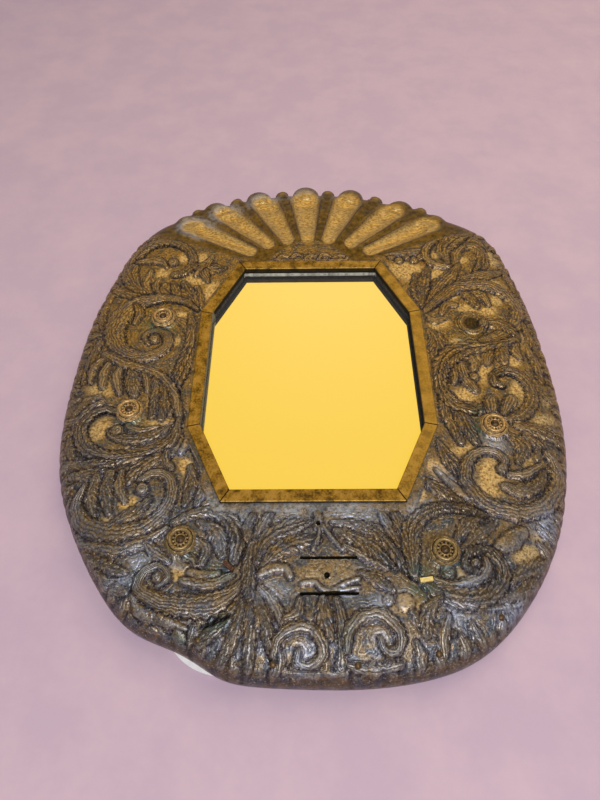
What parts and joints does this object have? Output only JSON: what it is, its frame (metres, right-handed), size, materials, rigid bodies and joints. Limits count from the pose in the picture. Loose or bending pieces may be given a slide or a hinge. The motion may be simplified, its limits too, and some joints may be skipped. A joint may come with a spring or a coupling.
{
  "type": "embossed brass mirror",
  "caption": "Wall mirror with an embossed brass frame: shell crest, eight-sided sight with mitred strips, nailed rosettes and a folding hanging ring at the back.",
  "frame": {"origin": "middle of the outline, on the plane of the back", "axes": "+X to the right as the mirror is looked at, +Y up towards the shell crest, +Z out of the face"},
  "size_m": [0.432, 0.5211, 0.0382],
  "materials": {
    "sheet_brass": "embossed sheet, dark bronze patina rubbed gold on the high ground",
    "strip_brass": "aged satin strip, fine stippled wear",
    "rosette_brass": "pressed, aged, with verdigris at the edge",
    "pin_brass": "worn",
    "hanger_brass": "dull",
    "old_iron": "brown rust",
    "steel_screw": "dull",
    "core_wood": "dark stained at the opening",
    "board_wood": "bare",
    "white_card": "plain off-white",
    "silvered_glass": "old silvering with a few dark specks"
  },
  "bodies": {
    "frame": {"embossed_cover": "sheet_brass", "wood_core": "core_wood", "backing_card": "white_card", "sight_strip_top": "strip_brass", "sight_strip_upper_right": "strip_brass", "sight_strip_right": "strip_brass", "sight_strip_lower_right": "strip_brass", "sight_strip_bottom": "strip_brass", "sight_strip_lower_left": "strip_brass", "sight_strip_left": "strip_brass", "sight_strip_upper_left": "strip_brass", "mirror_glass": "silvered_glass", "backboard": "board_wood", "backboard_sprigs": "old_iron", "rosette_left_upper": "rosette_brass", "rosette_left_middle": "rosette_brass", "rosette_left_lower": "rosette_brass", "rosette_right_middle": "rosette_brass", "rosette_right_lower": "rosette_brass", "rosette_pins": "pin_brass", "stub_pin_left": "old_iron", "stub_pin_right": "pin_brass", "border_nails": "pin_brass", "hanger_plate": "hanger_brass", "hanger_screws": "steel_screw"},
    "ring": {"hanger_ring": "hanger_brass"}
  },
  "joints": [
    {"name": "hanger_hinge", "type": "hinge", "parent": "frame", "child": "ring", "pos_m": [0, 0.176, 0.0055], "axis": [-1, 0, 0], "range_deg": [0, 180]}
  ]
}
